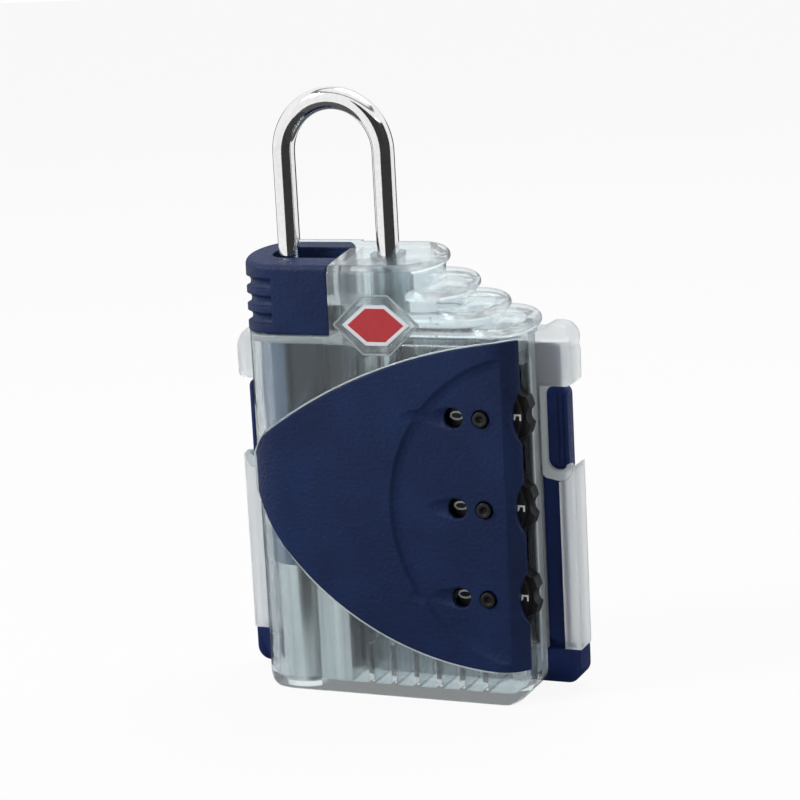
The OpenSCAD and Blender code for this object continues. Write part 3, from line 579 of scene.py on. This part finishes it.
def coilRecipe():
    g = Recipe("coilSpring", {"Foot": (0.0, 0.0, 0.0), "Coil Radius": 1.0 * mm, "Coil Height": 5 * mm,
                              "Turns": coil["Turns"], "Wire Radius": coil["Wire Radius"]})
    path = g.node("GeometryNodeCurveSpiral", {}, {
        "Resolution": coil["steps"], "Rotations": g.size("Turns"), "Start Radius": g.size("Coil Radius"),
        "End Radius": g.size("Coil Radius"), "Height": g.size("Coil Height")})
    section = g.node("GeometryNodeCurvePrimitiveCircle", {}, {
        "Resolution": coil["sides"], "Radius": g.size("Wire Radius")})
    wire = g.node("GeometryNodeCurveToMesh", {}, {"Curve": path, "Profile Curve": section, "Fill Caps": True})
    smooth = g.node("GeometryNodeSetShadeSmooth", {}, {0: wire})
    g.end(g.node("GeometryNodeTransform", {}, {"Geometry": smooth, "Translation": g.size("Foot")}),
          finishes["spring_steel"])
    return g


low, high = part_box("shackle_spring")
wire = coil["Wire Radius"]
spring = coilRecipe().make("coil_spring", {
    "Foot": ((low[0] + high[0]) / 2, (low[1] + high[1]) / 2, low[2] + wire),
    "Coil Radius": (high[0] - low[0]) / 2 - wire, "Coil Height": high[2] - low[2] - 2 * wire})
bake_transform(spring)
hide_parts("shackle_spring")
print("spring:", len(spring.data.polygons))


stage = {
    "floorSize": 6.0, "floorDrop": 0.05 * mm, "floorWhite": 0.82, "floorPaler": 0.03, "floorSpeck": 40,
    "floorGlow": 0.92, "worldDiffuse": 0.3,
    "lamps": [("keyLamp", (-0.42, -0.36, 0.52), (0.16, 0.16), 2.4),
              ("fillLamp", (0.55, -0.30, 0.30), (0.30, 0.45), 0.35),
              ("topLamp", (0.05, 0.20, 0.62), (0.40, 0.30), 1.8)],
    # Dark screens that only gloss sees, by degrees round the object: from, to, foot, top, distance, level. The
    # first also darkens what the pieces inside the clear housing mirror.
    "screens": [(-8, 102, 0.0, 0.20, 0.18, 0.04, True), (158, 240, 0.0, 0.12, 0.22, 0.03, False)],
    "screenSteps": 24,
    # Two more lie on the floor: from, to, near, far, level, and a disc's radius and level
    "sector": (-8, 102, 0.03, 0.18, 0.05), "sectorSteps": 16, "sectorLift": 0.03 * mm,
    "disc": (0.15, 0.10), "discSteps": 48, "discLift": 0.02 * mm,
    "skyBand": (50, 58, 0.8), "skyBlur": 0.03}      # the sky is darker between these two heights, to gloss
middle = (cadBox[0] + cadBox[1]) / 2


def floorFinish():
    f = Finish("paleFloor")
    camera, glossy, through = f.rays()
    speck = f.noise(stage["floorSpeck"], 2)
    white = stage["floorWhite"]
    matt = f.node("ShaderNodeBsdfDiffuse", {}, {
        "Color": f.tint(speck, (white,) * 3, (white + stage["floorPaler"],) * 3)})
    glow = f.node("ShaderNodeEmission", {}, {"Color": (1, 1, 1, 1), "Strength": 1.0})
    share = (camera + glossy + through) * stage["floorGlow"]
    return f.end(f.node("ShaderNodeMixShader", {}, {0: share, 1: matt, 2: glow}))


def world():
    made = bpy.data.worlds.new("studio")
    bpy.context.scene.world = made
    made.use_nodes = True
    g = Graph(made.node_tree)
    g.tree.nodes.clear()
    camera, glossy, through = g.rays()
    z = g.node("ShaderNodeSeparateXYZ", {}, {0: g.node("ShaderNodeTexCoord", out="Generated")}, out=2)
    lowest, highest, depth = stage["skyBand"]
    band = 1.0
    for angle, sign in ((lowest, 1), (highest, -1)):
        edge = math.sin(math.radians(angle)) * sign
        band = band * g.node("ShaderNodeMapRange", {"interpolation_type": "SMOOTHSTEP"}, {
            "Value": z * sign, "From Min": edge - stage["skyBlur"], "From Max": edge + stage["skyBlur"]})
    level = 1 - band * depth
    plain = stage["worldDiffuse"]
    back = g.node("ShaderNodeBackground", {}, {
        "Color": (1, 1, 1, 1), "Strength": plain + (camera + through) * (1 - plain) + glossy * (level - plain)})
    g.node("ShaderNodeOutputWorld", {}, {"Surface": back})


def stageMesh(name, points, faces, material):
    mesh = bpy.data.meshes.new(name)
    mesh.from_pydata(points, [], faces)
    mesh.materials.append(material)
    made = placed(name, mesh)
    return made


def screen(name, points, faces, level, through=False):
    # A dark screen that only gloss sees, which gives polished metal its dark bands
    f = Finish(name, 0)
    glow = f.node("ShaderNodeEmission", {}, {"Color": (level, level, level, 1)})
    made = stageMesh(name, points, faces, f.end(glow))
    made.visible_camera = made.visible_diffuse = made.visible_shadow = False
    made.visible_transmission = through


def around(start, end, steps):
    return [math.radians(start + (end - start) * i / steps) for i in range(steps + 1)]


def standingScreen(name, start, end, foot, top, distance, level, through):
    points = []
    for turn in around(start, end, stage["screenSteps"]):
        x, y = middle[0] + distance * math.sin(turn), middle[1] - distance * math.cos(turn)
        points += [(x, y, foot), (x, y, top)]
    faces = [(2 * i, 2 * i + 2, 2 * i + 3, 2 * i + 1) for i in range(stage["screenSteps"])]
    screen(name, points, faces, level, through)


def lamp(name, place, size, watts):
    data = bpy.data.lights.new(name, "AREA")
    data.shape, data.size, data.size_y, data.energy = "RECTANGLE", size[0], size[1], watts
    made = placed(name, data)
    made.location = place
    made.rotation_mode = "QUATERNION"
    made.rotation_quaternion = (middle - Vector(place)).to_track_quat("-Z", "Y")


world()
for i, settings in enumerate(stage["screens"]):
    standingScreen(f"screen_{i + 1}", *settings)
start, end, near, far, level = stage["sector"]
turns = around(start, end, stage["sectorSteps"])
spots = [(far, turn) for turn in turns] + [(near, turn) for turn in reversed(turns)]
points = [(middle[0] + r * math.sin(turn), middle[1] - r * math.cos(turn), stage["sectorLift"]) for r, turn in spots]
screen("screen_sector", points, [tuple(range(len(points)))], level, True)
radius, level = stage["disc"]
turns = around(0, 360, stage["discSteps"])[:-1]
points = [(middle[0] + radius * math.cos(a), middle[1] + radius * math.sin(a), stage["discLift"]) for a in turns]
screen("screen_disc", points, [tuple(range(len(points)))], level)
half = stage["floorSize"] / 2
stageMesh("floor", [(x * half, y * half, -stage["floorDrop"]) for x, y in ((-1, -1), (1, -1), (1, 1), (-1, 1))],
          [(0, 1, 2, 3)], floorFinish())
for name, place, size, watts in stage["lamps"]:
    lamp(name, place, size, watts)

view = {"azimuth": 23.0, "elevation": 11.5, "roll": 3.0, "lens": 108.0, "sensor": 36.0,
        "distance": 341.4 * mm, "aim": (0.6 * mm, 0, 42.1 * mm), "near": 0.01, "far": 20}
camera = placed("camera", bpy.data.cameras.new("camera"))
turn, rise = math.radians(view["azimuth"]), math.radians(view["elevation"])
backward = Vector((math.sin(turn) * math.cos(rise), -math.cos(turn) * math.cos(rise), math.sin(rise)))
roll = Matrix.Rotation(-math.radians(view["roll"]), 4, "Z").to_quaternion()
camera.location = Vector(view["aim"]) + backward * view["distance"]
camera.rotation_mode = "QUATERNION"
camera.rotation_quaternion = (-backward).to_track_quat("-Z", "Y") @ roll
camera.data.lens, camera.data.sensor_width = view["lens"], view["sensor"]
camera.data.clip_start, camera.data.clip_end = view["near"], view["far"]
bpy.context.scene.camera = camera
bpy.context.scene.view_settings.view_transform = "Standard"
print("stage: ready")
